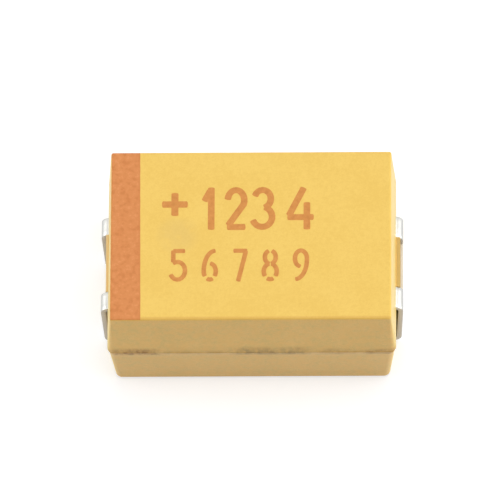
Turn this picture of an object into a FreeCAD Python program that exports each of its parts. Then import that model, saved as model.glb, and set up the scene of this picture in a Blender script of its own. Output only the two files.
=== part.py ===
import FreeCAD, Part
import os
import Sketcher

# Moulded tantalum chip capacitor for surface mounting, case size 7343-31, in millimetres.
# +X runs along the part from the anode end to the cathode end, Y across it, and +Z up.
# The origin lies on the circuit board, under the middle of the part.

SIZES = {
    # Moulded case: two drafted halves, widest where the halves of the mould met
    "case_length": 6.8,
    "case_width": 4.6,
    "parting_height": 1.65,
    "upper_half_height": 1.55,
    "stand_off": 0.05,
    "upper_end_draft": 0.1,
    "upper_side_draft": 0.1,
    "lower_end_draft": 0.14,
    "lower_side_draft": 0.11,
    "mould_mismatch": 0.018,
    "corner_radius": 0.15,
    "edge_radius": 0.05,
    # Lead frame: one thin strip at each end, split into two legs and folded under the case
    "strip_thickness": 0.12,
    "terminal_width": 2.4,
    "terminal_gap": 0.055,
    "terminal_lean": 0.065,
    "bend_radius": 0.1,
    "foot_length": 1.3,
    "leg_slot_reach": 0.45,
    "anode_slot_width": 1.5,
    "cathode_slot_width": 1.3,
    "cathode_slot_depth": 0.38,
    "anode_web_reach": 0.05,
    "cathode_web_reach": 0.1,
    "recess_clearance": 0.04,
    "recess_headroom": 0.02,
    "anode_tab_reach": 1.0,
    "cathode_paddle_length": 1.6,
    # Capacitor element: sintered anode, its wire and washer, and the layers around it
    "anode_end_wall": 1.58,
    "cathode_end_wall": 0.98,
    "side_wall": 0.6,
    "top_wall": 0.455,
    "anode_edge_radius": 0.12,
    "wire_diameter": 0.35,
    "wire_depth": 2.6,
    "weld_length": 0.5,
    "washer_diameter": 1.1,
    "washer_thickness": 0.15,
    "dioxide_thickness": 0.05,
    "graphite_thickness": 0.03,
    "silver_thickness": 0.05,
    "coat_setback": 0.12,
    "adhesive_thickness": 0.06,
    "adhesive_margin": 0.15,
}


class Size:
    """A length that holds both its value and the formula that the document keeps for it."""

    def __init__(self, value, formula):
        self.value = value
        self.formula = formula

    def __add__(self, other):
        return Size(self.value + value_of(other), f"({self.formula} + {formula_of(other)})")

    def __sub__(self, other):
        return Size(self.value - value_of(other), f"({self.formula} - {formula_of(other)})")

    def __mul__(self, other):
        return Size(self.value * value_of(other), f"({self.formula} * {formula_of(other)})")

    def __truediv__(self, other):
        return Size(self.value / value_of(other), f"({self.formula} / {formula_of(other)})")

    def __neg__(self):
        return Size(-self.value, f"(0 - {self.formula})")


def value_of(size):
    return size.value if isinstance(size, Size) else float(size)


def formula_of(size):
    return size.formula if isinstance(size, Size) else str(size)


# Document and its table of sizes
doc = FreeCAD.newDocument("tantalum_capacitor")
table = doc.addObject("Spreadsheet::Sheet", "sizes")
for row, (name, number) in enumerate(SIZES.items(), start=1):
    table.set(f"A{row}", name)
    table.set(f"B{row}", str(number))
    table.setAlias(f"B{row}", name)
doc.recompute()


def size(name):
    return Size(float(table.get(name)), f"sizes.{name}")


def bind(feature, **sizes):
    for prop, length in sizes.items():
        feature.setExpression(prop, formula_of(length))


def place(feature, x, y, z):
    corner = {"x": x, "y": y, "z": z}
    for axis, length in corner.items():
        feature.setExpression(f"Placement.Base.{axis}", formula_of(length))


def new_body(name):
    return doc.addObject("PartDesign::Body", name)


def plane_of(body, role):
    return next(plane for plane in body.Origin.OriginFeatures if plane.Role == role)


def add_box(body, kind, name, low, high):
    """Add or subtract a block between two corners given as sizes."""
    box = body.newObject(f"PartDesign::{kind}Box", name)
    bind(box, Length=high[0] - low[0], Width=high[1] - low[1], Height=high[2] - low[2])
    place(box, *low)
    doc.recompute()
    return box


def add_rod(body, name, diameter, start, end, height):
    """Add a round rod along X, centred on Y at the height given."""
    rod = body.newObject("PartDesign::AdditiveCylinder", name)
    rod.Placement = FreeCAD.Placement(
        FreeCAD.Vector(),
        FreeCAD.Rotation(FreeCAD.Vector(0, 1, 0), 90),
    )
    bind(rod, Radius=diameter / 2, Height=end - start)
    place(rod, start, 0, height)
    doc.recompute()
    return rod


def fillet(body, base, name, radius, wanted):
    """Round the edges of base for which wanted(edge) is true."""
    names = [f"Edge{i}" for i, edge in enumerate(base.Shape.Edges, start=1) if wanted(edge)]
    rounded = body.newObject("PartDesign::Fillet", name)
    rounded.Base = (base, names)
    bind(rounded, Radius=radius)
    doc.recompute()
    return rounded


def add_profile(body, name, corners, width):
    """Pad a closed outline, drawn in the XZ plane through its corners, to both sides by half."""
    sketch = body.newObject("Sketcher::SketchObject", f"{name}Outline")
    sketch.AttachmentSupport = (plane_of(body, "XZ_Plane"), [""])
    sketch.MapMode = "FlatFace"
    points = [FreeCAD.Vector(value_of(x), value_of(z), 0) for x, z in corners]
    count = len(points)
    for i in range(count):
        sketch.addGeometry(Part.LineSegment(points[i], points[(i + 1) % count]), False)
    for i in range(count):
        sketch.addConstraint(Sketcher.Constraint("Coincident", i, 2, (i + 1) % count, 1))
    for i, (x, z) in enumerate(corners):
        for kind, length in (("DistanceX", x), ("DistanceY", z)):
            number = Sketcher.Constraint(kind, -1, 1, i, 1, value_of(length))
            index = sketch.addConstraint(number)
            sketch.setExpression(f"Constraints[{index}]", formula_of(length))
    pad = body.newObject("PartDesign::Pad", name)
    pad.Profile = sketch
    pad.Midplane = True
    bind(pad, Length=width)
    doc.recompute()
    return pad


def fuse(name, pieces):
    joined = doc.addObject("Part::MultiFuse", name)
    joined.Shapes = pieces
    return joined


def cut(name, base, tool):
    result = doc.addObject("Part::Cut", name)
    result.Base = base
    result.Tool = tool
    return result


# Levels and stations that several pieces share
half_length = size("case_length") / 2
half_width = size("case_width") / 2
strip = size("strip_thickness")
strip_low = size("parting_height")
strip_high = strip_low + strip
outer_face = half_length + size("terminal_gap") + strip
case_top = strip_low + size("upper_half_height")
element_height = strip_high + size("wire_diameter") / 2
anode_start = size("anode_end_wall") - half_length
anode_end = half_length - size("cathode_end_wall")
anode_half_width = half_width - size("side_wall")
anode_half_height = case_top - size("top_wall") - element_height
layers = size("dioxide_thickness") + size("graphite_thickness") + size("silver_thickness")
coated_end = anode_end + layers
coated_bottom = element_height - anode_half_height - layers


# Capacitor element
def element_block(name, start, end, growth):
    """A block round the element, larger than the anode by growth, with its long edges rounded."""
    half_across = anode_half_width + growth
    half_high = anode_half_height + growth
    body = new_body(name)
    low = (start, -half_across, element_height - half_high)
    high = (end, half_across, element_height + half_high)
    box = add_box(body, "Additive", f"{name}Box", low, high)

    def runs_along(edge):
        return edge.BoundBox.XLength > edge.BoundBox.YLength + edge.BoundBox.ZLength

    fillet(body, box, f"{name}Edges", size("anode_edge_radius") + growth, runs_along)
    return body


def make_wire():
    body = new_body("Wire")
    end = anode_start + size("wire_depth")
    start = size("anode_tab_reach") - half_length - size("weld_length")
    add_rod(body, "WireRod", size("wire_diameter"), start, end, element_height)
    return body


def make_washer_disc():
    body = new_body("WasherDisc")
    start = anode_start - size("washer_thickness")
    add_rod(body, "WasherRod", size("washer_diameter"), start, anode_start, element_height)
    return body


def make_element():
    """The anode and the layers that cover it, each cut from a block by what lies inside it."""
    wire = make_wire()
    washer_disc = make_washer_disc()
    dioxide = size("dioxide_thickness")
    graphite = dioxide + size("graphite_thickness")
    graphite_start = anode_start + size("coat_setback")
    silver_start = graphite_start + size("coat_setback")
    none = strip * 0
    anode_block = element_block("AnodeBlock", anode_start, anode_end, none)
    dioxide_block = element_block("DioxideBlock", anode_start - dioxide, anode_end + dioxide, dioxide)
    graphite_block = element_block("GraphiteBlock", graphite_start, anode_end + graphite, graphite)
    silver_block = element_block("SilverBlock", silver_start, coated_end, layers)
    core = fuse("CoreTool", [anode_block, washer_disc])
    pieces = {
        "anode_wire": wire,
        "tantalum_anode": cut("Anode", anode_block, wire),
        "ptfe_washer": cut("Washer", washer_disc, wire),
        "manganese_dioxide_layer": cut("Dioxide", dioxide_block, core),
        "graphite_coat": cut("Graphite", graphite_block, dioxide_block),
        "silver_coat": cut("Silver", silver_block, graphite_block),
    }
    envelope = [silver_block, graphite_block, dioxide_block, washer_disc, wire]
    return pieces, envelope


# Terminals
def bends(pad, body, name, corners, radius):
    """Round the edges across the strip that stand at the corners given."""

    def at_a_corner(edge):
        middle = edge.BoundBox.Center
        across = edge.BoundBox.YLength > size("terminal_width").value / 2
        near = [
            abs(middle.x - value_of(x)) + abs(middle.z - value_of(z)) < strip.value / 10
            for x, z in corners
        ]
        return across and any(near)

    return fillet(body, pad, name, radius, at_a_corner)


def leaning(side, height, depth):
    """X of the strip that runs down the end of the case, at a height and a depth into the strip."""
    lean = size("terminal_lean") * (strip_high - height) / strip_high
    return (outer_face - lean - depth) * side


def terminal(name, side, inner_outside, inner_inside, inner_bends, slot_width, slot_low):
    """A strip from its foot on the board, up the end of the case and in along the parting plane.

    inner_outside and inner_inside are the corners of its inner end, along the upper and lower face.
    """
    foot_tip = leaning(side, strip * 0, size("foot_length"))
    foot_corner = (leaning(side, strip * 0, strip * 0), strip * 0)
    foot_inside = (leaning(side, strip, strip), strip)
    leg_corner = (outer_face * side, strip_high)
    leg_inside = (leaning(side, strip_low, strip), strip_low)
    outline = [(foot_tip, strip * 0), foot_corner, leg_corner]
    outline += inner_outside + inner_inside
    outline += [leg_inside, foot_inside, (foot_tip, strip)]
    body = new_body(name)
    pad = add_profile(body, f"{name}Strip", outline, size("terminal_width"))
    tight = [foot_inside, leg_inside] + inner_bends["tight"]
    wide = [foot_corner, leg_corner] + inner_bends["wide"]
    inside = bends(pad, body, f"{name}Inside", tight, size("bend_radius"))
    bends(inside, body, f"{name}Outside", wide, size("bend_radius") + strip)
    slot_end = (outer_face - size("leg_slot_reach")) * side
    beyond = (outer_face + strip) * side
    ends = (slot_end, beyond) if side > 0 else (beyond, slot_end)
    low = (ends[0], -(slot_width / 2), slot_low)
    high = (ends[1], slot_width / 2, strip_high + strip)
    add_box(body, "Subtractive", f"{name}Slot", low, high)
    return body


def make_anode_terminal():
    tab_end = size("anode_tab_reach") - half_length
    above = [(tab_end, strip_high)]
    below = [(tab_end, strip_low)]
    straight = {"tight": [], "wide": []}
    width = size("anode_slot_width")
    return terminal("AnodeTerminal", -1, above, below, straight, width, -strip)


def make_cathode_terminal():
    """Its inner end steps down past the end of the element and lies under it as a paddle."""
    step = coated_end + size("adhesive_thickness")
    paddle_high = coated_bottom - size("adhesive_thickness")
    paddle_low = paddle_high - strip
    tip = step - size("cathode_paddle_length")
    above = [(step, strip_high), (step, paddle_high), (tip, paddle_high)]
    below = [(tip, paddle_low), (step + strip, paddle_low), (step + strip, strip_low)]
    inner_bends = {"tight": [above[1], below[2]], "wide": [above[0], below[1]]}
    width = size("cathode_slot_width")
    slot_low = strip_high - size("cathode_slot_depth")
    return terminal("CathodeTerminal", 1, above, below, inner_bends, width, slot_low)


def make_adhesive(cathode_terminal):
    """A bed of silver-filled glue between the element and the paddle, turned up at the step."""
    thickness = size("adhesive_thickness")
    step = coated_end + thickness
    paddle_high = coated_bottom - thickness
    tip = step - size("cathode_paddle_length") + size("adhesive_margin")
    top = strip_low - size("adhesive_margin")
    outline = [
        (tip, paddle_high),
        (step, paddle_high),
        (step, top),
        (coated_end, top),
        (coated_end, coated_bottom),
        (tip, coated_bottom),
    ]
    body = new_body("AdhesiveBed")
    width = size("terminal_width") - size("adhesive_margin") * 2
    add_profile(body, "AdhesiveLayer", outline, width)
    return cut("Adhesive", body, cathode_terminal)


# Moulded case
def case_half(name, levels, ends, sides):
    """A drafted block between two levels, with rounded corners and a rounded edge at its face.

    ends and sides are its half length and half width at the lower and at the upper level.
    """
    body = new_body(name)
    wedge = body.newObject("PartDesign::AdditiveWedge", f"{name}Block")
    wedge.Placement = FreeCAD.Placement(
        FreeCAD.Vector(),
        FreeCAD.Rotation(FreeCAD.Vector(1, 0, 0), 90),
    )
    bind(wedge, Ymin=levels[0], Ymax=levels[1])
    bind(wedge, Xmin=-ends[0], Xmax=ends[0], X2min=-ends[1], X2max=ends[1])
    bind(wedge, Zmin=-sides[0], Zmax=sides[0], Z2min=-sides[1], Z2max=sides[1])
    doc.recompute()
    parting = strip_low.value

    def rises(edge):
        return edge.BoundBox.ZLength > (levels[1].value - levels[0].value) / 2

    def is_rim(edge):
        box = edge.BoundBox
        flat = box.ZLength < strip.value / 10
        return flat and abs(box.Center.z - parting) > strip.value

    corners = fillet(body, wedge, f"{name}Corners", size("corner_radius"), rises)
    fillet(body, corners, f"{name}Rim", size("edge_radius"), is_rim)
    return body


def foot_recess(side):
    """Room in the underside for one foot and its bend, open at the end of the case."""
    clearance = size("recess_clearance")
    inner = (outer_face - size("terminal_lean") - size("foot_length") - clearance) * side
    beyond = (outer_face + strip) * side
    ends = (inner, beyond) if side > 0 else (beyond, inner)
    reach = size("terminal_width") / 2 + clearance
    low = (ends[0], -reach, -strip)
    high = (ends[1], reach, strip + size("recess_headroom"))
    return low, high


def leg_web(name, side, reach, slot_width):
    """The tongue of moulding that sets between the two legs, level with the strip."""
    inner = (outer_face - size("leg_slot_reach")) * side
    outer = (half_length + reach) * side
    ends = (inner, outer) if side > 0 else (outer, inner)
    body = new_body(name)
    low = (ends[0], -(slot_width / 2), strip_low)
    high = (ends[1], slot_width / 2, strip_high)
    add_box(body, "Additive", f"{name}Tongue", low, high)
    return body


def make_case(enclosed):
    """One moulding round the element and the inner ends of both terminals."""
    mismatch = size("mould_mismatch")
    upper = case_half(
        "UpperHalf",
        (strip_low, case_top),
        (half_length, half_length - size("upper_end_draft")),
        (half_width, half_width - size("upper_side_draft")),
    )
    lower_length = half_length - mismatch
    lower_width = half_width - mismatch
    lower = case_half(
        "LowerHalf",
        (size("stand_off"), strip_low),
        (lower_length - size("lower_end_draft"), lower_length),
        (lower_width - size("lower_side_draft"), lower_width),
    )
    add_box(lower, "Subtractive", "AnodeRecess", *foot_recess(-1))
    add_box(lower, "Subtractive", "CathodeRecess", *foot_recess(1))
    anode_web = leg_web("AnodeWeb", -1, size("anode_web_reach"), size("anode_slot_width"))
    cathode_web = leg_web("CathodeWeb", 1, size("cathode_web_reach"), size("cathode_slot_width"))
    outside = fuse("CaseOutside", [upper, lower, anode_web, cathode_web])
    return cut("Case", outside, fuse("CaseInside", enclosed))


def make_part():
    pieces, envelope = make_element()
    pieces["anode_terminal"] = make_anode_terminal()
    pieces["cathode_terminal"] = make_cathode_terminal()
    pieces["silver_adhesive"] = make_adhesive(pieces["cathode_terminal"])
    enclosed = envelope + [
        pieces["anode_terminal"],
        pieces["cathode_terminal"],
        pieces["silver_adhesive"],
    ]
    pieces["moulded_case"] = make_case(enclosed)
    return pieces


def check(pieces):
    """Stop unless every feature was made and every piece is one valid solid."""
    for feature in doc.Objects:
        if "Invalid" in feature.State or "Error" in feature.State:
            raise RuntimeError(f"{feature.Name} failed: {feature.State}")
    for name, piece in pieces.items():
        shape = piece.Shape
        if shape.isNull() or not shape.isValid() or len(shape.Solids) != 1:
            raise RuntimeError(f"{name} is not one valid solid")


parts = make_part()
for node, piece in parts.items():
    piece.Label = node
doc.recompute()
check(parts)

os.makedirs("parts", exist_ok=True)
for node, piece in parts.items():
    piece.Shape.exportStep(f"parts/{node}.step")
    box = piece.Shape.BoundBox
    corners = [round(v, 3) for v in (box.XMin, box.YMin, box.ZMin, box.XMax, box.YMax, box.ZMax)]
    print(node, "volume", round(piece.Shape.Volume, 4), "box", corners)
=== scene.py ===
# %% [markdown]
# # A moulded tantalum chip capacitor
#
# The part is a block of yellow epoxy, seven millimetres long, moulded around a small sintered
# anode. A tinned strip leaves each end, splits into two legs and folds under the block. An orange
# bar on the top marks the positive end.
#
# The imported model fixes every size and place. This lesson gives the pieces their look: soft
# moulded corners, the seam where the two halves of the mould met, punched and bent strips, ink
# marks, and a finish for everything.

# %% Load the fixed frame
import math
from collections import namedtuple

import bmesh
import bpy
from mathutils import Matrix, Vector, noise


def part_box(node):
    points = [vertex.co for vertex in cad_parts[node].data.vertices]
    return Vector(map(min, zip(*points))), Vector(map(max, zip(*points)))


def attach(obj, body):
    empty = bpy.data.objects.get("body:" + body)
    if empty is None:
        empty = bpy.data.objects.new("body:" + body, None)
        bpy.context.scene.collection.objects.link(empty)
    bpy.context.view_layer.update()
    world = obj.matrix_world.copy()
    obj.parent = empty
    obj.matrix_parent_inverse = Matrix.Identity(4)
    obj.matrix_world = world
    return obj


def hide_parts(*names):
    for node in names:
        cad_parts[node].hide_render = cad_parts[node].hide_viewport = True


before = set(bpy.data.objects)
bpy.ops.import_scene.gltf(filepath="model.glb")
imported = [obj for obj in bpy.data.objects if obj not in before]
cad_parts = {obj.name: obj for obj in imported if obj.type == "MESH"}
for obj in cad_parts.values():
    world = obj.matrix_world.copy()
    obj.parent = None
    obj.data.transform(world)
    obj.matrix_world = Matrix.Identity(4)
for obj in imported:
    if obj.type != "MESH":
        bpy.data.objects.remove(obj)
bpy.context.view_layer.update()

print("nodes:", sorted(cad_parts))

# %% [markdown]
# ## Working in millimetres
#
# Blender's unit here is the metre, and this object is only 0.007 of one. Numbers like that are hard
# to read, so each piece is modelled in millimetres and shrunk once, when it becomes an object. The
# sizes come from the frame where it shows them: a level plane is cut through the case's mesh and
# the cut gives the half length and half width there. Points near the strips are left out of the
# length, because tongues of epoxy stand out there.

# %% Measure the case at any level
MM = 0.001
STRIP = 0.12
TERMINAL_HALF_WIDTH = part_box("anode_terminal")[1].y / MM
BESIDE_STRIP = TERMINAL_HALF_WIDTH * 1.2


def half_extents(level):
    """Half length and half width, in millimetres, of the cut that a level plane makes."""
    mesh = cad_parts["moulded_case"].data
    cut = []
    for edge in mesh.edges:
        a, b = (mesh.vertices[i].co / MM for i in edge.vertices)
        if (a.z - level) * (b.z - level) < 0:
            cut.append(a.lerp(b, (level - a.z) / (b.z - a.z)))
    clear_of_legs = [p.x for p in cut if abs(p.y) > BESIDE_STRIP]
    return Vector((max(clear_of_legs), max(p.y for p in cut)))


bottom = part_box("moulded_case")[0].z / MM
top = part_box("moulded_case")[1].z / MM
leg_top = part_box("cathode_terminal")[1].z / MM
parting = leg_top - STRIP
print(f"case from {bottom:.3f} to {top:.3f} mm, parting plane at {parting:.3f} mm")

# %% [markdown]
# ## The drafted walls
#
# A moulded block has to leave its mould, so its walls lean. Each half is widest at the parting
# plane. Two cuts through a half give its slope, and a straight line through them gives the wall at
# any level.

# %% Walls of the two halves
NEAR_CUT = 0.3
FAR_CUT = 1.0


def wall_between(low_level, high_level):
    """A function that gives the half extents of one half of the case at a level."""
    low, high = half_extents(low_level), half_extents(high_level)

    def wall(level):
        return low + (high - low) * (level - low_level) / (high_level - low_level)

    return wall


lower_wall = wall_between(parting - FAR_CUT, parting - NEAR_CUT)
upper_wall = wall_between(parting + NEAR_CUT, parting + FAR_CUT)
WIDEST = upper_wall(parting)
print("lower wall at the parting plane:", [round(v, 3) for v in lower_wall(parting)])
print("upper wall at the parting plane:", [round(v, 3) for v in WIDEST])

# %% [markdown]
# ## Camera
#
# The photograph looks down from in front at about 64 degrees with a long lens, a little from the
# right, and the picture is turned slightly. The camera is set as a photographer would say it:
# elevation, azimuth, roll, distance and the width of the view at the part. Two more numbers slide
# the view to where the photograph has the part.

# %% Place the camera
CAMERA_ELEVATION = math.radians(63.55)
CAMERA_AZIMUTH = math.radians(2.64)
CAMERA_ROLL = math.radians(2.64)
CAMERA_DISTANCE = 300.0
VIEW_WIDTH = 11.863
AIM_RIGHT = -0.035
AIM_UP = 1.082


def in_scene(name, data):
    """A new object with this data, linked to the scene."""
    made = bpy.data.objects.new(name, data)
    bpy.context.scene.collection.objects.link(made)
    return made


across = Vector((math.cos(CAMERA_AZIMUTH), math.sin(CAMERA_AZIMUTH), 0))
back = Vector((
    math.sin(CAMERA_AZIMUTH) * math.cos(CAMERA_ELEVATION),
    -math.cos(CAMERA_AZIMUTH) * math.cos(CAMERA_ELEVATION),
    math.sin(CAMERA_ELEVATION),
))
over = back.cross(across)
# the roll turns across and over into the right and up of the picture
right = across * math.cos(CAMERA_ROLL) - over * math.sin(CAMERA_ROLL)
up = across * math.sin(CAMERA_ROLL) + over * math.cos(CAMERA_ROLL)
camera = in_scene("camera", bpy.data.cameras.new("camera"))
camera_place = across * AIM_RIGHT + over * AIM_UP + back * CAMERA_DISTANCE
camera_turn = Matrix((right, up, back)).transposed().to_4x4()
camera.matrix_world = Matrix.Translation(camera_place * MM) @ camera_turn
camera.data.lens = camera.data.sensor_width * CAMERA_DISTANCE / VIEW_WIDTH
camera.data.clip_start = 0.01
bpy.context.scene.camera = camera
print(f"lens {camera.data.lens:.0f} mm on a {camera.data.sensor_width:.0f} mm sensor")

# %% [markdown]
# ## A plain studio
#
# The part is lit as small parts are for a catalogue: a wide lamp overhead and one at each side, the
# right one stronger, as the bright right end of the photograph shows. Wide lamps give soft light.
# The side towards the viewer gets only what the table and the room give back, so it is darker than
# the top.

# %% Light the scene
LAMPS = {
    # name: (place in metres, width in metres, power in watts)
    "overhead": ((0.05, 0.10, 0.55), 0.50, 1.62),
    "right_side": ((0.50, -0.02, 0.08), 0.45, 2.1),
    "left_side": ((-0.50, 0.0, 0.08), 0.45, 1.5),
}
for name, (lamp_place, width, power) in LAMPS.items():
    lamp = in_scene(name, bpy.data.lights.new(name, "AREA"))
    lamp.location = lamp_place
    lamp.rotation_euler = Vector(lamp_place).to_track_quat("Z", "Y").to_euler()
    lamp.data.size = width
    lamp.data.energy = power
    lamp.visible_camera = False
print("lamps:", ", ".join(LAMPS))

# %% [markdown]
# ## Shader sums in plain Python
#
# A procedural material is mostly arithmetic: distances, masks and mixes. Drawn as nodes, a formula
# of ten terms fills the screen. Here one small class wraps the output of a node, and `+`, `-` and
# `*` on it add the Math nodes, so `1 - mask` means what it says. Every other node comes from one
# method, which takes the kind of node, its settings and what goes into its sockets.

# %% The socket wrapper


class Value:
    """One output of a shader node. Arithmetic on it adds Math nodes beside it."""

    def __init__(self, nodes, socket):
        self.nodes = nodes
        self.socket = socket

    def math(self, operation, first, second=0.0):
        return self.nodes.node("ShaderNodeMath", {"operation": operation}, {0: first, 1: second})

    def __add__(self, other):
        return self.math("ADD", self, other)

    def __radd__(self, other):
        return self.math("ADD", other, self)

    def __sub__(self, other):
        return self.math("SUBTRACT", self, other)

    def __rsub__(self, other):
        return self.math("SUBTRACT", other, self)

    def __mul__(self, other):
        return self.math("MULTIPLY", self, other)

    def __rmul__(self, other):
        return self.math("MULTIPLY", other, self)

    def __abs__(self):
        return self.math("ABSOLUTE", self)

    def or_more(self, other):
        """The larger of two values."""
        return self.math("MAXIMUM", self, other)

    def step(self, low, high):
        """0 below low, 1 above high, and a smooth ramp between; low may be the larger one."""
        settings = {"interpolation_type": "SMOOTHSTEP"}
        limits = {"Value": self, "From Min": low, "From Max": high}
        return self.nodes.node("ShaderNodeMapRange", settings, limits)


# %% [markdown]
# The node method and a few short names for the nodes that come up often are a second class. A
# third, for materials, starts it with a Principled shader and feeds that by plain words.

# %% The node tree
# the Mix node has a set of sockets for each kind of data, and these are the colour's
MIX_SHARE, MIX_FIRST, MIX_SECOND, MIX_RESULT = 0, 6, 7, 2


class Nodes:
    """A node tree, and the one way its nodes are made."""

    def __init__(self, tree):
        self.tree = tree

    def node(self, kind, settings=None, inputs=None, output=0):
        made = self.tree.nodes.new(kind)
        for name, setting in (settings or {}).items():
            setattr(made, name, setting)
        for name, value in (inputs or {}).items():
            self.feed(made.inputs[name], value)
        return Value(self, made.outputs[output])

    def feed(self, socket, value):
        if isinstance(value, Value):
            self.tree.links.new(value.socket, socket)
        else:
            socket.default_value = value

    def place(self):
        """The point on the piece, in millimetres, as one vector."""
        point = self.node("ShaderNodeTexCoord", output="Object")
        settings = {"operation": "SCALE"}
        return self.node("ShaderNodeVectorMath", settings, {0: point, "Scale": 1 / MM})

    def facing(self):
        """The way the surface faces, as three numbers between -1 and 1."""
        return self.axes(self.node("ShaderNodeTexCoord", output="Normal"))

    def axes(self, vector):
        """The three numbers of a vector."""
        made = self.node("ShaderNodeSeparateXYZ", inputs={0: vector}).socket.node
        return [Value(self, made.outputs[i]) for i in range(3)]

    def stretched(self, vector, factors):
        """A vector with each of its numbers multiplied, for streaks."""
        settings = {"operation": "MULTIPLY"}
        return self.node("ShaderNodeVectorMath", settings, {0: vector, 1: factors})

    def cloud(self, vector, per_mm, detail=2.0, roughness=0.5):
        """Soft noise between 0 and 1, with about per_mm blobs to the millimetre."""
        sizes = {"Vector": vector, "Scale": per_mm, "Detail": detail, "Roughness": roughness}
        return self.node("ShaderNodeTexNoise", inputs=sizes)

    def mix(self, share, first, second):
        """A colour between two colours; share 0 is the first one."""
        colours = {MIX_SHARE: share, MIX_FIRST: first, MIX_SECOND: second}
        return self.node("ShaderNodeMix", {"data_type": "RGBA"}, colours, output=MIX_RESULT)

    def bump(self, height, depth_mm):
        """A surface normal that follows height, where a height of 1 is depth_mm high."""
        sizes = {"Height": height, "Distance": depth_mm * MM}
        return self.node("ShaderNodeBump", inputs=sizes)


# %% A material is a node tree too


class Paint(Nodes):
    """A material with a Principled shader."""

    def __init__(self, name):
        self.material = bpy.data.materials.new(name)
        self.material.use_nodes = True
        super().__init__(self.material.node_tree)
        self.shader = self.tree.nodes["Principled BSDF"]

    def set(self, **sockets):
        """Feed the shader: a word like base_color stands for the socket Base Color."""
        for name, value in sockets.items():
            title = " ".join(word.capitalize() for word in name.split("_"))
            self.feed(self.shader.inputs[title], value)


# %% [markdown]
# Colours are written as a picture shows them, from 0 to 255, and turned into the shader's linear
# numbers, so a colour written here can be compared with one in a photograph.

# %% Colours as a picture shows them


def colour(red, green, blue):
    """A shader colour from the 0 to 255 values that a picture shows."""

    def linear(level):
        share = level / 255
        return share / 12.92 if share <= 0.04045 else ((share + 0.055) / 1.055) ** 2.4

    return (linear(red), linear(green), linear(blue), 1.0)


YELLOW = colour(246, 206, 100)
print("yellow of the moulding:", [round(v, 3) for v in YELLOW[:3]])

# %% [markdown]
# ## Table and room
#
# The table is one wide plane of white paper, marked as stage so that it isn't part of the object.
# It takes the part's soft shadow.
#
# The background is white without more light on the part. The Light Path node tells rays that come
# straight from the camera, or by way of a reflection or through glass, from the rays that light the
# scene. Only the first see the paper's little glow and the full white of the room, so the light on
# the part stays plain.

# %% The table top and the room around it
TABLE_SIZE = 3.0
TABLE_GLOW = 0.55
ROOM_LEVEL = 0.34
PAPER = colour(203, 204, 206)
BLACK = colour(0, 0, 0)
WHITE = colour(255, 255, 255)


def seen_directly(nodes):
    """1 or more for rays from the camera, from a reflection or through glass, 0 for light rays."""
    names = ("Is Camera Ray", "Is Glossy Ray", "Is Transmission Ray")
    return sum(nodes.node("ShaderNodeLightPath", output=name) for name in names)


paper = Paint("table_paper")
paper.set(base_color=PAPER, roughness=0.9, emission_strength=TABLE_GLOW)
paper.set(emission_color=paper.mix(seen_directly(paper), BLACK, WHITE))

corners = ((-1, -1), (1, -1), (1, 1), (-1, 1))
table_corners = [(x * TABLE_SIZE / 2, y * TABLE_SIZE / 2, 0) for x, y in corners]
table_mesh = bpy.data.meshes.new("table")
table_mesh.from_pydata(table_corners, [], [(0, 1, 2, 3)])
table_mesh.materials.append(paper.material)
table = in_scene("table", table_mesh)

world = bpy.data.worlds.new("room")
world.use_nodes = True
bpy.context.scene.world = world
room = Nodes(world.node_tree)
room_light = (ROOM_LEVEL, ROOM_LEVEL, ROOM_LEVEL, 1.0)
room_colour = room.mix(seen_directly(room), room_light, WHITE)
room.feed(world.node_tree.nodes["Background"].inputs["Color"], room_colour)

# %% [markdown]
# ## From a mesh in millimetres to a piece of the part
#
# Every piece goes through the same door. Its faces are turned outwards: Blender's own tool makes
# them agree with each other, but on a folded strip all may agree on the wrong side, and a negative
# volume shows that. Edges sharper than a set angle are kept crisp while the rest is smooth, the
# mesh is shrunk to metres, the piece takes its finish and is told which body it rides on, and the
# nodes of the imported model that it stands for are hidden.

# %% One door for every piece
SHARP_ANGLE = math.radians(38)


def make_piece(name, mesh_in_mm, material, stands_for=()):
    """Make an object from a bmesh in millimetres, riding on the part."""
    bmesh.ops.recalc_face_normals(mesh_in_mm, faces=mesh_in_mm.faces)
    if mesh_in_mm.calc_volume(signed=True) < 0:
        bmesh.ops.reverse_faces(mesh_in_mm, faces=mesh_in_mm.faces)
    for face in mesh_in_mm.faces:
        face.smooth = True
    for edge in mesh_in_mm.edges:
        edge.smooth = len(edge.link_faces) == 2 and edge.calc_face_angle() < SHARP_ANGLE
    mesh = bpy.data.meshes.new(name)
    mesh_in_mm.to_mesh(mesh)
    mesh_in_mm.free()
    mesh.transform(Matrix.Scale(MM, 4))
    mesh.materials.append(material)
    piece = in_scene(name, mesh)
    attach(piece, "root")
    if stands_for:
        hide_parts(*stands_for)
    print(f"{name}: {len(mesh.polygons)} faces")


# %% [markdown]
# ## The moulded case, ring by ring
#
# A box with bevelled edges would do from afar. Close up, a moulding has a round at each upright
# corner, a smaller one along the rim and a seam all the way round, and all of them run into each
# other at the corners. A stack of rounded rectangles joins them all: each ring has the same number
# of points, so neighbours are joined face by face. The corner's radius shrinks towards the top, as
# it does on the real block.
#
# The points along a ring lie close together, because the seam is uneven and needs points to move.

# %% A ring of the case
CORNER_RADIUS = 0.15
TOP_CORNER_RADIUS = 0.05
RIM_RADIUS = 0.05
CORNER_STEPS = 8
LONG_STEPS = 110
SHORT_STEPS = 72


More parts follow.
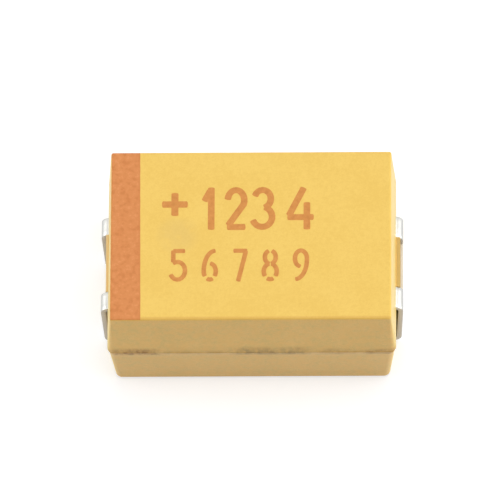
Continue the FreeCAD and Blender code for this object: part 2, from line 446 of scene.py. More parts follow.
def rounded_ring(half, inset, level):
    """Points of a rounded rectangle, set in from the wall, at one level."""
    length, width = half.x - inset, half.y - inset
    share = max(level - parting, 0) / (top - parting)
    radius = CORNER_RADIUS + (TOP_CORNER_RADIUS - CORNER_RADIUS) * share
    radius = max(radius - inset, RIM_RADIUS / 2)
    points = []
    corners = ((1, -1), (1, 1), (-1, 1), (-1, -1))
    for quarter, (sx, sy) in enumerate(corners):
        centre = Vector((sx * (length - radius), sy * (width - radius)))
        for i in range(CORNER_STEPS + 1):
            turn = math.radians(90 * (quarter - 1) + 90 * i / CORNER_STEPS)
            points.append(centre + Vector((math.cos(turn), math.sin(turn))) * radius)
        steps = SHORT_STEPS if quarter % 2 == 0 else LONG_STEPS
        next_x, next_y = corners[(quarter + 1) % 4]
        next_centre = Vector((next_x * (length - radius), next_y * (width - radius)))
        end = next_centre + Vector((math.cos(turn), math.sin(turn))) * radius
        start = points[-1]
        points += [start.lerp(end, i / steps) for i in range(1, steps)]
    return [Vector((p.x, p.y, level)) for p in points]


print("points in a ring:", len(rounded_ring(WIDEST, 0, parting)))

# %% [markdown]
# ## The seam
#
# Where the halves of the mould meet, the epoxy creeps into the joint. The upper half keeps a sharp
# lower edge, a shallow groove runs under it, and the lower half begins with a little ledge that
# catches the light. The seam is a few more rings, close together, each pulled in by its share of
# the groove.

# %% Levels of the case, from the underside to the top
GROOVE_DEPTH = 0.012
GROOVE_HEIGHT = 0.03
LEDGE = 0.010
WALL_RINGS = 7
RIM_RINGS = 6
# one more ring, this far in on the flat face, keeps the round's shading off it
SUPPORT = 0.012


def rim(level, wall, direction):
    """Rings of the round along the bottom or top edge, from the flat face to the wall."""
    rings = [(level, RIM_RADIUS + SUPPORT)]
    for i in range(RIM_RINGS + 1):
        angle = math.radians(90 * i / RIM_RINGS)
        rise = RIM_RADIUS * (1 - math.cos(angle)) * direction
        rings.append((level + rise, RIM_RADIUS * (1 - math.sin(angle))))
    return [(z, wall(z), inset, 0) for z, inset in rings]


def wall_rings(wall, low, high):
    """Evenly spaced rings up one wall."""
    heights = [low + (high - low) * i / (WALL_RINGS - 1) for i in range(WALL_RINGS)]
    return [(z, wall(z), 0, 0) for z in heights]


SEAM = [
    # groove heights over the parting plane, how far the ring is set in, its share of the groove
    (-1.6, LEDGE * 0.6, 0),
    (-1, 0, 0),
    (-0.6, GROOVE_DEPTH * 0.4, 0.8),
    (-0.2, GROOVE_DEPTH * 0.6, 1),
    (0, GROOVE_DEPTH * 0.5, 0.8),
    (0.35, 0, 0),
]
levels = rim(bottom, lower_wall, 1)
levels += wall_rings(lower_wall, bottom + RIM_RADIUS * 1.6, parting - GROOVE_HEIGHT * 3)
levels += [(parting + GROOVE_HEIGHT * rise, WIDEST, inset, share) for rise, inset, share in SEAM]
levels += wall_rings(upper_wall, parting + GROOVE_HEIGHT * 2, top - RIM_RADIUS * 1.6)
levels += reversed(rim(top, upper_wall, -1))
print(len(levels), "rings")

# %% [markdown]
# A groove of even depth looks drawn on. Two sizes of noise along the seam open and close it. Each
# point of the groove moves straight into the wall that it lies on. The high power sees to that: it
# makes the share of the nearer wall count for almost everything, and turns the pull only close to
# a corner.

# %% An uneven groove
# about the half length and half width of the block
REACH_X, REACH_Y = 3.4, 2.2
PULL_POWER = 12


def unevenness(point):
    """Between 0 and 1, wandering slowly along the seam."""
    broad = noise.noise(point * 1.1)
    fine = noise.noise(point * 4.7)
    return min(max(0.5 + 0.7 * broad + 0.4 * fine, 0), 1)


def seam_shifted(point, groove):
    """A point of the seam, moved in towards the middle of the block."""
    if not groove:
        return point
    shares = Vector((-point.x / REACH_X, -point.y / REACH_Y, 0))
    inward = Vector([math.copysign(abs(share) ** PULL_POWER, share) for share in shares])
    return point + inward.normalized() * GROOVE_DEPTH * groove * unevenness(point)


# %% Join the rings into one closed block


def stack(block, rings):
    """Add a closed stack of rings, with equally many points each, and flat faces at its ends."""
    rows = [[block.verts.new(point) for point in ring] for ring in rings]
    count = len(rows[0])
    for low, high in zip(rows, rows[1:]):
        for i in range(count):
            j = (i + 1) % count
            block.faces.new((low[i], low[j], high[j], high[i]))
    block.faces.new(list(reversed(rows[0])))
    block.faces.new(rows[-1])


rings = []
for level, half, inset, groove in levels:
    ring = rounded_ring(half, inset, level)
    rings.append([seam_shifted(point, groove) for point in ring])
case_block = bmesh.new()
stack(case_block, rings)
print("case block:", len(case_block.faces), "faces")

# %% [markdown]
# ## Recesses and tongues
#
# Each foot lies in a shallow recess in the underside, and between the legs of each strip the epoxy
# has set as a thin tongue. Both are plain blocks, so a Boolean modifier is the short way: it cuts
# the recesses out and joins the tongues on, with clean edges. A tongue is a hair thinner than the
# strip, because faces that lie exactly in the groove's plane would leave slivers.

# %% Plain blocks and the Boolean
FOOT_LENGTH = 1.3
TERMINAL_GAP = 0.055
TERMINAL_LEAN = 0.065
RECESS_CLEARANCE = 0.04
RECESS_HEADROOM = 0.02
SLOT_REACH = 0.45
TONGUE_SETTLE = 0.003
OUTER_FACE = WIDEST.x + TERMINAL_GAP + STRIP
# -1 is the anode's end of the part, 1 the cathode's
SLOT_WIDTH = {-1: 1.5, 1: 1.3}
TONGUE_REACH = {-1: 0.05, 1: 0.10}


def block_between(corner, opposite):
    """A plain block mesh between two opposite corners."""
    block = bmesh.new()
    bmesh.ops.create_cube(block, size=1)
    size = [abs(reach) for reach in Vector(opposite) - Vector(corner)]
    middle = (Vector(opposite) + Vector(corner)) / 2
    in_place = Matrix.Translation(middle) @ Matrix.Diagonal(size).to_4x4()
    bmesh.ops.transform(block, matrix=in_place, verts=block.verts)
    return block


def combined(base, other, operation):
    """Two bmeshes joined or cut by the exact Boolean solver."""
    objects = []
    for part in (base, other):
        mesh = bpy.data.meshes.new("working")
        part.to_mesh(mesh)
        part.free()
        objects.append(in_scene("working", mesh))
    modifier = objects[0].modifiers.new("combine", "BOOLEAN")
    modifier.operation = operation
    modifier.solver = "EXACT"
    modifier.object = objects[1]
    shown = objects[0].evaluated_get(bpy.context.evaluated_depsgraph_get())
    result = bmesh.new()
    result.from_mesh(shown.to_mesh())
    for working in objects:
        mesh = working.data
        bpy.data.objects.remove(working)
        bpy.data.meshes.remove(mesh)
    return result


# %% Cut the recesses, join the tongues
for side in (-1, 1):
    reach = TERMINAL_HALF_WIDTH + RECESS_CLEARANCE
    inner = (OUTER_FACE - TERMINAL_LEAN - FOOT_LENGTH - RECESS_CLEARANCE) * side
    outer = (OUTER_FACE + STRIP) * side
    recess = block_between((inner, -reach, -STRIP), (outer, reach, STRIP + RECESS_HEADROOM))
    case_block = combined(case_block, recess, "DIFFERENCE")
    inner = (OUTER_FACE - SLOT_REACH) * side
    outer = (WIDEST.x + TONGUE_REACH[side]) * side
    reach = SLOT_WIDTH[side] / 2
    low, high = parting + TONGUE_SETTLE, leg_top - TONGUE_SETTLE
    tongue = block_between((inner, -reach, low), (outer, reach, high))
    case_block = combined(case_block, tongue, "UNION")
print("finished case:", len(case_block.faces), "faces")

# %% [markdown]
# ## Strips: punch the blank, then bend it
#
# A terminal starts as flat tinned strip. A press punches its outline and slot, which leaves the
# edges slightly rounded, and a tool bends it. Doing it in the same order is the easy way here too.
# The blank is a flat grid, so its slot and rounded edges are simple, and bending is only a rule
# that carries a point at a distance along the blank to a point along the bent path.

# %% The bent path
BEND_RADIUS = 0.10
BEND_STEPS = 9
Run = namedtuple("Run", "length kind start direction turn")


def bent_path(corners, radius):
    """The straight runs and the bends along corner points."""
    runs = []
    point = corners[0]
    for i in range(1, len(corners)):
        corner = corners[i]
        direction = (corner - point).normalized()
        if i == len(corners) - 1:
            runs.append(Run((corner - point).length, "straight", point, direction, 0))
            break
        following = (corners[i + 1] - corner).normalized()
        turn = direction.angle_signed(following, 0)
        trim = radius * math.tan(abs(turn) / 2)
        end = corner - direction * trim
        runs.append(Run((end - point).length, "straight", point, direction, 0))
        runs.append(Run(radius * abs(turn), "bend", end, direction, turn))
        point = corner + following * trim
    return runs


def along(runs, distance, radius):
    """Point and direction on the path at a distance from its start."""
    for run in runs:
        if distance <= run.length or run is runs[-1]:
            break
        distance -= run.length
    if run.kind == "straight":
        return run.start + run.direction * distance, run.direction
    sign = math.copysign(1, run.turn)
    side = Vector((run.direction.y, -run.direction.x)) * sign
    centre = run.start + side * radius
    turned = Matrix.Rotation(-distance / radius * sign, 2)
    return centre - (turned @ side) * radius, turned @ run.direction


# %% [markdown]
# The blank's grid has a line at every place that matters: both ends, the ends and sides of the
# slot, and several lines through each bend so that it comes out round. Cells inside the slot are
# left out, and wherever a cell has no neighbour the plate gets a side face. A bevel then rounds the
# punched edges.

# %% The flat blank
PLAIN_STEP = 0.12
EDGE_ROUND = 0.012
PUNCHED_ANGLE = math.radians(60)
SAME_LINE = 1e-6


def grid_lines(stops, longest):
    """Numbers from the first stop to the last, through every stop, no further apart than longest."""
    lines = [stops[0]]
    for stop in stops[1:]:
        start = lines[-1]
        if stop - start < SAME_LINE:
            continue
        steps = max(1, math.ceil((stop - start) / longest))
        lines += [start + (stop - start) * i / steps for i in range(1, steps + 1)]
    return lines


def punched_blank(lengths, widths, slot_start, slot_end, slot_half):
    """A flat plate on grid lines, with the cells inside the slot left out and round edges."""
    blank = bmesh.new()
    layers = []
    for height in (-STRIP / 2, STRIP / 2):
        layers.append([[blank.verts.new((u, v, height)) for v in widths] for u in lengths])

    def solid(i, j):
        if not (0 <= i < len(lengths) - 1 and 0 <= j < len(widths) - 1):
            return False
        u = (lengths[i] + lengths[i + 1]) / 2
        v = (widths[j] + widths[j + 1]) / 2
        return not (slot_start < u < slot_end and abs(v) < slot_half)

    low, high = layers
    for i in range(len(lengths) - 1):
        for j in range(len(widths) - 1):
            if not solid(i, j):
                continue
            cell = [(i, j), (i + 1, j), (i + 1, j + 1), (i, j + 1)]
            blank.faces.new([high[a][b] for a, b in cell])
            blank.faces.new([low[a][b] for a, b in reversed(cell)])
            outside = [(i, j - 1), (i + 1, j), (i, j + 1), (i - 1, j)]
            for side, neighbour in enumerate(outside):
                if not solid(*neighbour):
                    (a, b), (c, d) = cell[side], cell[(side + 1) % 4]
                    blank.faces.new((low[a][b], low[c][d], high[c][d], high[a][b]))
    loose = [vertex for vertex in blank.verts if not vertex.link_faces]
    bmesh.ops.delete(blank, geom=loose, context="VERTS")
    sharp = [edge for edge in blank.edges if edge.calc_face_angle() > PUNCHED_ANGLE]
    bmesh.ops.bevel(blank, geom=sharp, offset=EDGE_ROUND, segments=2, profile=0.5, affect="EDGES")
    return blank


# %% [markdown]
# Each path is given by the corners of the strip's middle line: the tip of the foot, the two corners
# of the upright, and the inner end. The cathode strip goes on inside the case: it steps down past
# the end of the element and lies under it as a paddle. The upright leans in towards the foot, as
# the drafted wall behind it does.

# %% Paths of the two strips
ANODE_TAB_REACH = 1.0
PADDLE_LENGTH = 1.6
ADHESIVE = 0.06
middle_radius = BEND_RADIUS + STRIP / 2
middle_low = STRIP / 2
middle_high = leg_top - STRIP / 2


def upright(level):
    """Distance of the strip's middle line from the centre of the part, on the way up the end."""
    return OUTER_FACE - STRIP / 2 - TERMINAL_LEAN * (leg_top - level) / leg_top


outer_corners = [
    Vector((OUTER_FACE - TERMINAL_LEAN - FOOT_LENGTH, middle_low)),
    Vector((upright(middle_low), middle_low)),
    Vector((upright(middle_high), middle_high)),
]
element_low, element_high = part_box("silver_coat")
step_at = element_high.x / MM + ADHESIVE + STRIP / 2
paddle_level = element_low.z / MM - ADHESIVE - STRIP / 2
paddle_tip = element_high.x / MM + ADHESIVE - PADDLE_LENGTH
cathode_corners = outer_corners + [
    Vector((step_at, middle_high)),
    Vector((step_at, paddle_level)),
    Vector((paddle_tip, paddle_level)),
]
anode_corners = outer_corners + [Vector((WIDEST.x - ANODE_TAB_REACH, middle_high))]
print("cathode corners:", [tuple(round(v, 2) for v in c) for c in cathode_corners])

# %% Bend a blank along its path


def bent_strip(corners, side, slot_start, slot_end):
    """The finished strip mesh at one end of the part, with its slot between two distances."""
    runs = bent_path(corners, middle_radius)
    stops, travelled = [0], 0
    for run in runs:
        if run.kind == "bend":
            stops += [travelled + run.length * i / BEND_STEPS for i in range(BEND_STEPS + 1)]
        travelled += run.length
    stops.append(travelled)
    slot_half = SLOT_WIDTH[side] / 2
    lengths = grid_lines(sorted(stops + [slot_start, slot_end]), PLAIN_STEP)
    half = TERMINAL_HALF_WIDTH
    widths = grid_lines([-half, -slot_half, slot_half, half], PLAIN_STEP)
    strip = punched_blank(lengths, widths, slot_start, slot_end, slot_half)
    for vertex in strip.verts:
        distance, across_strip, height = vertex.co
        point, direction = along(runs, distance, middle_radius)
        outward = Vector((direction.y, -direction.x))
        bent = point + outward * height
        vertex.co = Vector((bent.x * side, across_strip, bent.y))
    return strip


# %% [markdown]
# Both slots run in along the leg and end inside the case. The anode's starts in the foot, so its
# legs are apart all the way down, while the cathode's is only a window near the top of the upright.
# Distances are counted along the middle line: foot, bend, upright, bend, leg.

# %% Punch and bend both strips
ANODE_SLOT_FOOT = 0.385
WINDOW_DEPTH = 0.38
# places in the list of runs
UPRIGHT, LEG = 2, 4

outer_runs = bent_path(anode_corners, middle_radius)
leg_start = sum(run.length for run in outer_runs[:LEG])
slot_inner = leg_start + outer_runs[LEG].start.x - (OUTER_FACE - SLOT_REACH)
upright_start = sum(run.length for run in outer_runs[:UPRIGHT])
window_level = leg_top - WINDOW_DEPTH
window_start = upright_start + (window_level - outer_runs[UPRIGHT].start.y)
anode_strip = bent_strip(anode_corners, -1, FOOT_LENGTH - ANODE_SLOT_FOOT, slot_inner)
cathode_strip = bent_strip(cathode_corners, 1, window_start, slot_inner)
print("strips:", len(anode_strip.faces), len(cathode_strip.faces), "faces")

# %% [markdown]
# ## Marks on the top
#
# The marks are laid down through a stencil. A stencil has bridges, so some figures are a few short
# strokes with gaps between. Here a stroke is a centre line swept to an even width, and a figure is
# a list of strokes in a unit square. The figures say nothing: they are plain numbers in order,
# after a plus sign for the positive end. Upright strokes run a little past the square, to come out
# as tall as the round ones.

# %% Strokes of the figures
ARC_STEPS = 14


def line(x0, y0, x1, y1):
    return [(x0, y0), (x1, y1)]


def arc(cx, cy, rx, ry, start, end):
    """Part of an ellipse, by angles in degrees, in steps small enough to look round."""
    turns = [math.radians(start + (end - start) * i / ARC_STEPS) for i in range(ARC_STEPS + 1)]
    return [(cx + rx * math.cos(t), cy + ry * math.sin(t)) for t in turns]


FIGURES = {
    "+": [line(0.5, 0, 0.5, 1), line(0, 0.5, 1, 0.5)],
    "1": [line(0.75, -0.05, 0.75, 1.05), line(0, 0.72, 0.62, 0.98)],
    "2": [arc(0.48, 0.72, 0.5, 0.28, 172, -22) + [(0.04, 0.06)], line(0, 0, 1, 0)],
    "3": [arc(0.44, 0.76, 0.48, 0.24, 158, -72), arc(0.42, 0.27, 0.58, 0.27, 72, -158)],
    "4": [line(0.62, 1.04, 0.04, 0.32), line(0, 0.26, 1, 0.26), line(0.76, 0.64, 0.76, -0.05)],
    "5": [line(0.1, 1, 0.94, 1), line(0.06, 1, 0.06, 0.62), arc(0.4, 0.31, 0.6, 0.31, 122, -152)],
    "6": [
        arc(0.95, 0.3, 0.95, 0.7, 92, 172) + arc(0.5, 0.28, 0.5, 0.28, 180, 212),
        arc(0.5, 0.28, 0.5, 0.28, 246, 294),
        arc(0.5, 0.28, 0.5, 0.28, -32, 82),
    ],
    "7": [line(0, 1, 1, 1), line(0.94, 0.98, 0.34, -0.05)],
    "8": [
        arc(0.5, 0.77, 0.42, 0.23, 112, 255),
        arc(0.5, 0.77, 0.42, 0.23, 68, -75),
        arc(0.5, 0.27, 0.5, 0.27, 105, 212),
        arc(0.5, 0.27, 0.5, 0.27, 75, -32),
        arc(0.5, 0.27, 0.5, 0.27, 246, 294),
    ],
}
# a nine is a six turned upside down, here without its gaps
whole_six = arc(0.95, 0.3, 0.95, 0.7, 92, 175) + arc(0.5, 0.28, 0.5, 0.28, 185, 440)
FIGURES["9"] = [[(1 - x, 1 - y) for x, y in whole_six]]
print("figures:", " ".join(FIGURES))

# %% [markdown]
# Ink has a thickness, if only a few micrometres, so it is a thin film with sides rather than a
# change of colour: its edge catches the light as the real one does. The outline of each stroke is
# set just under the surface and again just over it, and these two rings are stacked as those of
# the case were. A figure's later strokes lie a little higher, so that no two faces coincide where
# strokes cross.

# %% Sweep a stroke into a thin film of ink
INK_THICKNESS = 0.003
INK_STEP = 0.001
END_ROUND = 0.16
END_STEPS = 6


def swept(points, width):
    """Outline of a stroke: both sides of its centre line, with blunt rounded ends."""
    path = [Vector(p) for p in points]
    steps = [(after - before).normalized() for before, after in zip(path, path[1:])]
    tangents = [steps[0]]
    tangents += [(before + after).normalized() for before, after in zip(steps, steps[1:])]
    tangents.append(steps[-1])
    sides = []
    for tangent, step in zip(tangents, [steps[0]] + steps):
        sides.append(Vector((-tangent.y, tangent.x)) * width / 2 / tangent.dot(step))
    left_side = [p + s for p, s in zip(path, sides)]
    right_side = [p - s for p, s in zip(path, sides)]

    def cap(centre, tangent, side):
        angles = [math.pi * i / END_STEPS for i in range(1, END_STEPS)]
        bulges = [tangent * math.sin(a) * width * END_ROUND for a in angles]
        return [centre + side * math.cos(a) + bulge for a, bulge in zip(angles, bulges)]

    far_end = cap(path[-1], tangents[-1], sides[-1])
    near_end = cap(path[0], -tangents[0], -sides[0])
    return left_side + far_end + list(reversed(right_side)) + near_end


def ink_stroke(film, outline, order):
    """Add one stroke to the film, as a closed slab through the surface of the top."""
    height = INK_THICKNESS + INK_STEP * order
    stack(film, [[(p.x, p.y, level) for p in outline] for level in (top - height, top + height)])


# %% [markdown]
# The marks fill two rows: large figures in the upper half with the sign before them, and smaller,
# wider spaced ones below.

# %% Lay out the two rows
# bottom and top of a row, and the width of its strokes, in millimetres
LARGE_ROW = (0.143, 1.269, 0.155)
SMALL_ROW = (-1.205, -0.350, 0.106)
SIGN_ROW = (0.46, 1.18, 0.165)
MARKS = [
    # figure, left and right of its box in millimetres, and its row
    ("+", -2.15, -1.43, SIGN_ROW),
    ("1", -1.162, -0.806, LARGE_ROW),
    ("2", -0.617, -0.072, LARGE_ROW),
    ("3", 0.022, 0.577, LARGE_ROW),
    ("4", 0.802, 1.532, LARGE_ROW),
    ("5", -1.889, -1.486, SMALL_ROW),
    ("6", -1.154, -0.765, SMALL_ROW),
    ("7", -0.444, -0.043, SMALL_ROW),
    ("8", 0.255, 0.665, SMALL_ROW),
    ("9", 0.985, 1.375, SMALL_ROW),
]
ink_film = bmesh.new()
for figure, left_end, right_end, (low, high, width) in MARKS:
    wide, tall = right_end - left_end - width, high - low - width
    start_x, start_y = left_end + width / 2, low + width / 2
    for order, stroke in enumerate(FIGURES[figure]):
        points = [(start_x + x * wide, start_y + y * tall) for x, y in stroke]
        ink_stroke(ink_film, swept(points, width), order)
print("ink film:", len(ink_film.faces), "faces in", len(MARKS), "marks")

# %% [markdown]
# ## Ink
#
# The ink is an orange brown, a little mottled, because the matt epoxy takes it unevenly. Each ink
# is three shades, and noise picks between them: soft darker spots first, then paler ones over
# them. The bar is laid on thicker than the figures and comes out redder, so it has shades of its
# own, and the same function colours both.

# %% The mottled ink
# the dark, middle and pale shade of each
BAR_INK = (colour(206, 122, 54), colour(219, 137, 70), colour(230, 151, 88))
FIGURE_INK = (colour(200, 124, 40), colour(212, 137, 52), colour(222, 150, 66))


def ink_colour(paint, point, shades):
    """Orange brown with soft darker and paler spots."""
    deep, middle, light = shades
    spots = paint.cloud(point, 8.5, detail=3.0)
    grain = paint.cloud(point, 20.0)
    dark = spots.step(0.52, 0.30) * 0.8
    pale = (spots * 0.6 + grain * 0.4).step(0.52, 0.66) * 0.7
    return paint.mix(pale, paint.mix(dark, middle, deep), light)


ink = Paint("ink_marks")
point = ink.place()
ink.set(base_color=ink_colour(ink, point, FIGURE_INK), roughness=0.5)
ink.set(normal=ink.bump(ink.cloud(point, 22.0), 0.002))
print("ink nodes:", len(ink.tree.nodes))

# %% [markdown]
# ## Epoxy moulding
#
# The case is yellow epoxy full of fine silica, so it is matt, with a very fine grain. Its yellow is a
# little mottled, and light and shade are painted into it as well: the long sides are duller than the
# top, a painted shade, and the ends are paler, a painted light. The thin tongues in the slots carry
# painted light at the anode's end and painted shade at the cathode's.
#
# One material carries all of that, and masks say where each yellow belongs. A mask is a number
# between 0 and 1 from the point's place or from the way the surface faces, so it needs no unwrapped
# picture. Its `step` has two numbers, where it begins and where it is full: on a place they are
# millimetres, and on noise they cut blobs out of the haze.

# %% The yellows, by place
YELLOW_DEEP = colour(240, 198, 90)
# painted shade: the long sides and their mottled shades are set duller than the top
SHADED_SIDE_YELLOW = colour(240, 193, 101)
SHADED_SIDE_DEEP = colour(226, 186, 95)
SHADED_SIDE_WARM = colour(240, 188, 90)
# painted light: the ends are set paler than the sides
LIT_END_YELLOW = colour(240, 206, 104)
# painted shade on the cathode's tongue, and painted light on the anode's
SHADED_TONGUE_YELLOW = colour(204, 171, 86)
LIT_TONGUE_YELLOW = colour(236, 208, 146)


def wall_yellow(paint, point, patchy, at_end):
    """The mottled yellow of the long sides, duller than the top as painted shade, and the paler
    yellow of the ends, a painted light.
    """
    side = paint.mix(patchy, SHADED_SIDE_YELLOW, SHADED_SIDE_DEEP)
    warm = paint.cloud(point, 5.0, detail=3.0).step(0.38, 0.62)
    side = paint.mix(warm * 0.5, side, SHADED_SIDE_WARM)
    return paint.mix(at_end, side, LIT_END_YELLOW)


def with_tongues(paint, point, body):
    """The body's colour, with the tongues beyond its ends in painted light at the anode and painted
    shade at the cathode.
    """
    x = paint.axes(point)[0]
    beyond = abs(x).step(WIDEST.x + 0.002, WIDEST.x + 0.012)
    # painted light on the anode's tongue, painted shade on the cathode's
    tongue = paint.mix(x.step(-1, 1), LIT_TONGUE_YELLOW, SHADED_TONGUE_YELLOW)
    return paint.mix(beyond, body, tongue)


# %% [markdown]
# A used part isn't spotless. The top has a few ochre specks, where grains of pigment lie at the
# surface, and one faint smudge beside the sign. A deeper line along the front edge, where the top
# rounds over, is painted shade. The specks are the centres of Voronoi cells, and a slow cloud picks
# only some of them.

# %% Small faults of the top, and painted shade along its front edge
OCHRE = colour(214, 160, 66)
SMUDGE = colour(226, 190, 104)
SMUDGE_X, SMUDGE_Y = -1.72, 0.02
SMUDGE_REACH = 0.6
FRONT_EDGE = upper_wall(top).y - RIM_RADIUS


def wear_and_rim_shade_on_top(paint, point, body):
    """Specks, a smudge, and painted shade along the front edge, over the yellow of the top."""
    x, y, z = paint.axes(point)
    spots = paint.node("ShaderNodeTexVoronoi", inputs={"Vector": point, "Scale": 1.3})
    chosen = paint.cloud(point, 0.9).step(0.50, 0.54)
    body = paint.mix(spots.step(0.06, 0.025) * chosen * 0.5, body, OCHRE)
    from_x, from_y = x - SMUDGE_X, y - SMUDGE_Y
    distance_squared = from_x * from_x + from_y * from_y
    smudge = distance_squared.step(SMUDGE_REACH ** 2, 0.0) * paint.cloud(point, 2.2).step(0.3, 0.6)
    body = paint.mix(smudge * 0.45, body, SMUDGE)
    # painted shade along the front rim of the top, where it rounds over towards the front
    painted_rim_shade = (0 - y).step(FRONT_EDGE - 0.05, FRONT_EDGE) * z.step(top - 0.05, top - 0.02)
    return paint.mix(painted_rim_shade * 0.45, body, OCHRE)


# %% [markdown]
# The seam holds dirt. A faint film follows it all along the front, darker in its core, and in a few
# places a smear reaches up over the wall, brown at the corners and greyish in the middle. Patches
# and specks of noise break them up. Where masks overlap the larger one is taken, so dirt never adds
# up to black.

# %% Dirt along the seam
BROWN_DIRT = colour(130, 76, 10)
OLIVE_DIRT = colour(126, 100, 58)
STAINS = [
    # centre and half length along the front of the seam, height over it, strength
    (-2.72, 0.72, 0.26, 1.0),
    (0.45, 1.30, 0.34, 0.78),
    (2.05, 0.55, 0.24, 0.5),
    (3.05, 0.55, 0.20, 0.7),
]
# how far under the parting plane they lie
CORE_BELOW, FILM_BELOW = 0.045, 0.03


def seam_dirt(paint, point):
    """How much dirt lies on a point, between 0 and 1."""
    x, y, z = paint.axes(point)
    rise = z - parting
    flattened = paint.stretched(point, (1.0, 1.0, 0.5))
    patches = paint.cloud(flattened, 3.2, detail=4.0, roughness=0.7).step(0.36, 0.60)
    specks = paint.cloud(paint.stretched(point, (1.0, 1.0, 0.6)), 7.0, detail=2.0).step(0.42, 0.58)
    on_front = y.step(-2.0, -2.1)
    core = abs(rise + CORE_BELOW).step(0.10, 0.015)
    film = abs(rise + FILM_BELOW).step(0.17, 0.06) * on_front
    # a faint darker band from the seam up about a third of a millimetre, along the front
    haze = rise.step(0.34, 0.10) * rise.step(-0.10, -0.02) * on_front
    dirt = core * (0.06 + 0.10 * patches) + film * (0.06 + 0.12 * patches) + haze * 0.06
    for centre, reach, height, strength in STAINS:
        near = abs(x - centre).step(reach, reach * 0.45) * on_front * strength
        band = rise.step(height, height * 0.15) * rise.step(-0.24, -0.13)
        smear = band * (0.24 + 0.36 * patches + 0.2 * specks)
        dirt = dirt.or_more(near * smear.or_more(core * (0.5 + 0.4 * specks)))
    return dirt


def dirt_colour(paint, point):
    """Brown, and greyish along the middle smear."""
    centre, reach = STAINS[1][:2]
    in_middle = abs(paint.axes(point)[0] - centre).step(reach, reach * 0.6)
    return paint.mix(in_middle, BROWN_DIRT, OLIVE_DIRT)


# %% [markdown]
# The bar reaches over the edges of the top at three sides, so it is part of this material rather
# than a film of its own. It sits slightly askew, its free edge wanders a little, and the ink has
# gathered to a darker line there.

# %% The printed bar
BAR_EDGE = -2.58
BAR_SLANT = 0.009
EDGE_WANDER = 0.012
EDGE_SOFTNESS = 0.006
DARK_LINE = 0.06


def with_bar(paint, point, body):
    """The moulding's colour with the bar printed over it."""
    x, y, z = paint.axes(point)
    edge = x + (y + FRONT_EDGE) * BAR_SLANT + (paint.cloud(point, 6.0) - 0.5) * EDGE_WANDER
    bar = edge.step(BAR_EDGE + EDGE_SOFTNESS, BAR_EDGE - EDGE_SOFTNESS)
    bar = bar * z.step(top - 0.03, top - 0.014)
    at_edge = edge.step(BAR_EDGE - DARK_LINE, BAR_EDGE)
    printed = paint.mix(at_edge * 0.5, ink_colour(paint, point, BAR_INK), BAR_INK[0])
    return paint.mix(bar, body, printed)


# %% [markdown]
# The finish is those layers in order. The sides have a thin coat of gloss, from a smoother part of
# the mould, except where dirt dulls it. Three sizes of noise make the colour patchy, and the two
# finer ones also make the grain of the surface.

# %% The finish of the case
SIDE_GLOSS = 0.42
END_GLOSS = 0.40


def moulding():
    """The epoxy of the case, with its dirt and its printed bar."""
    paint = Paint("epoxy_moulding")
    point = paint.place()
    broad = paint.cloud(point, 1.3, detail=3.0)
    speckle = paint.cloud(point, 9.0, detail=2.0)
    grain = paint.cloud(point, 24.0, detail=3.0)
    patchy = (broad * 0.3 + speckle * 0.3 + grain * 0.4).step(0.38, 0.62)
    below_top = paint.axes(point)[2].step(top - 0.012, top - 0.05)
    at_end = abs(paint.facing()[0]).step(0.6, 0.9)
    body = wear_and_rim_shade_on_top(paint, point, paint.mix(patchy, YELLOW, YELLOW_DEEP))
    # painted shade on the walls below the top, and painted light on the ends
    body = paint.mix(below_top, body, wall_yellow(paint, point, patchy, at_end))
    body = with_tongues(paint, point, body)
    dirt = seam_dirt(paint, point)
    body = paint.mix(dirt, body, dirt_colour(paint, point))
    paint.set(base_color=with_bar(paint, point, body), roughness=0.5 + 0.12 * grain)
    gloss = SIDE_GLOSS + (END_GLOSS - SIDE_GLOSS) * at_end
    paint.set(coat_weight=below_top * gloss * (1 - dirt), coat_roughness=0.3)
    paint.set(normal=paint.bump(grain * 0.7 + speckle * 0.3, 0.004))
    return paint


epoxy = moulding()
print("epoxy nodes:", len(epoxy.tree.nodes))

# %% [markdown]
# ## Tinned strip
#
# The strip is plated with matt tin: a bright, slightly milky metal with fine lines along its length
# from rolling. Its faces that point along the part, towards the side lamps, are set a little darker,
# a painted shade. The punch cuts through the plating, so the side edges show the bare alloy, darker
# and rougher, and so does the lower edge of the cathode strip's window. The way a surface faces tells
# them all apart.

# %% The strip's faces and its cut edges
TIN = colour(214, 213, 206)
TIN_DULL = colour(186, 186, 182)
TIN_OUTER_SHADE = colour(187, 188, 186)
CUT_EDGE = colour(198, 192, 182)
WINDOW_EDGE = colour(212, 202, 182)


def tinned():
    """Plated strip with rolling lines and bare cut edges."""
    paint = Paint("tinned_strip")
    point = paint.place()
    height = paint.axes(point)[2]
    lines = paint.cloud(paint.stretched(point, (1.5, 26.0, 1.5)), 1.0, detail=3.0)
    cloudy = paint.cloud(point, 3.0, detail=3.0)
    facing_x, facing_y, facing_z = paint.facing()
    side_edge = abs(facing_y).step(0.55, 0.85)
    outer_face_shade = abs(facing_x).step(0.45, 0.95)
    window_edge = facing_z.step(0.5, 0.8) * height.step(0.2, 0.3)
    window_edge = window_edge * height.step(leg_top - 0.2, leg_top - 0.3)
    metal = paint.mix(cloudy.step(0.40, 0.70) * 0.6, TIN, TIN_DULL)
    # painted shade on the faces that point along the part, towards the side lamps
    metal = paint.mix(outer_face_shade * 0.8, metal, TIN_OUTER_SHADE)
    metal = paint.mix(window_edge, metal, WINDOW_EDGE)
    cut = side_edge.or_more(window_edge)
    paint.set(base_color=paint.mix(cut * (1 - window_edge), metal, CUT_EDGE))
    paint.set(metallic=1.0 - 0.35 * cut)
    paint.set(roughness=0.30 + 0.10 * lines + 0.08 * cloudy + 0.2 * cut)
    paint.set(normal=paint.bump(lines * 0.6 + cloudy * 0.4, 0.002))
    return paint


tin = tinned()
print("tin nodes:", len(tin.tree.nodes))

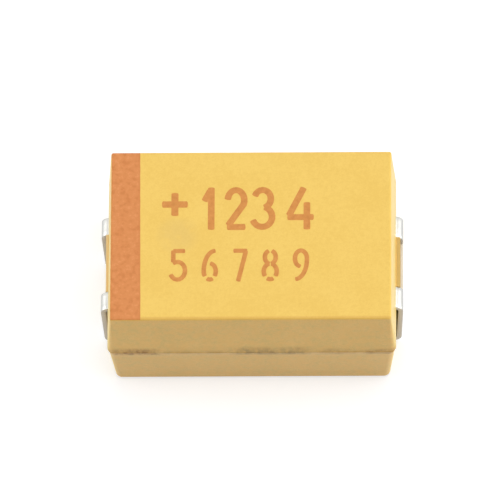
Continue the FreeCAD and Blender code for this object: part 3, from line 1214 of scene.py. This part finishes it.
# %% [markdown]
# ## Inside the case
#
# The pieces inside are hidden, but someone may take the case off. Each one keeps its shape from the
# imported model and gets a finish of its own: two colours mixed by noise, a roughness and a grain at
# the size the real material shows. The wire's noise is stretched along it, as drawing leaves it.

# %% Finishes for the pieces inside


def plain_finish(name, first, second, per_mm, depth_mm, roughness, metallic=0.0, stretch=(1, 1, 1)):
    """Two colours in a cloud of noise, with a grain of the same pattern."""
    paint = Paint(name)
    point = paint.stretched(paint.place(), stretch)
    grain = paint.cloud(point, per_mm, detail=4.0)
    paint.set(base_color=paint.mix(grain.step(0.35, 0.65), colour(*first), colour(*second)))
    paint.set(roughness=roughness + 0.15 * grain, metallic=metallic)
    paint.set(normal=paint.bump(grain, depth_mm))
    return paint.material


ALONG_WIRE = (0.15, 3, 3)
INSIDE = {
    # node: name of the finish, its two colours, blobs to the millimetre, depth of the grain in
    # millimetres, roughness, how metallic it is and the stretch of the noise
    "tantalum_anode": ("sintered_tantalum", (96, 96, 102), (64, 64, 70), 14, 0.02, 0.55, 0.8),
    "anode_wire": ("tantalum_wire", (150, 150, 158), (120, 120, 128), 9, 0.002, 0.3, 1.0, ALONG_WIRE),
    "ptfe_washer": ("fluoropolymer", (240, 240, 236), (226, 226, 222), 3, 0.004, 0.4),
    "manganese_dioxide_layer": ("manganese_dioxide", (44, 42, 42), (26, 25, 26), 18, 0.015, 0.7),
    "graphite_coat": ("graphite", (70, 70, 74), (52, 52, 56), 8, 0.006, 0.45, 0.2),
    "silver_coat": ("silver_paint", (196, 194, 190), (172, 170, 166), 10, 0.006, 0.5, 0.7),
    "silver_adhesive": ("silver_glue", (180, 178, 176), (150, 149, 147), 12, 0.01, 0.55, 0.6),
}
for node, recipe in INSIDE.items():
    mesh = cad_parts[node].data
    mesh.materials.clear()
    mesh.materials.append(plain_finish(*recipe))
print("finished inside:", ", ".join(INSIDE))

# %% [markdown]
# ## Put the part together
#
# The case and the two strips stand for nodes of the imported model, which stays as it is. The marks
# stand for none.

# %% Make the pieces
make_piece("case_moulding", case_block, epoxy.material, ["moulded_case"])
make_piece("anode_strip", anode_strip, tin.material, ["anode_terminal"])
make_piece("cathode_strip", cathode_strip, tin.material, ["cathode_terminal"])
make_piece("top_marks", ink_film, ink.material)

# %% [markdown]
# ## The view transform
#
# The visual model has to stay inside the imported one. The picture is shown with Blender's Standard
# view transform.

# %% Set the view transform
bpy.context.scene.view_settings.view_transform = "Standard"
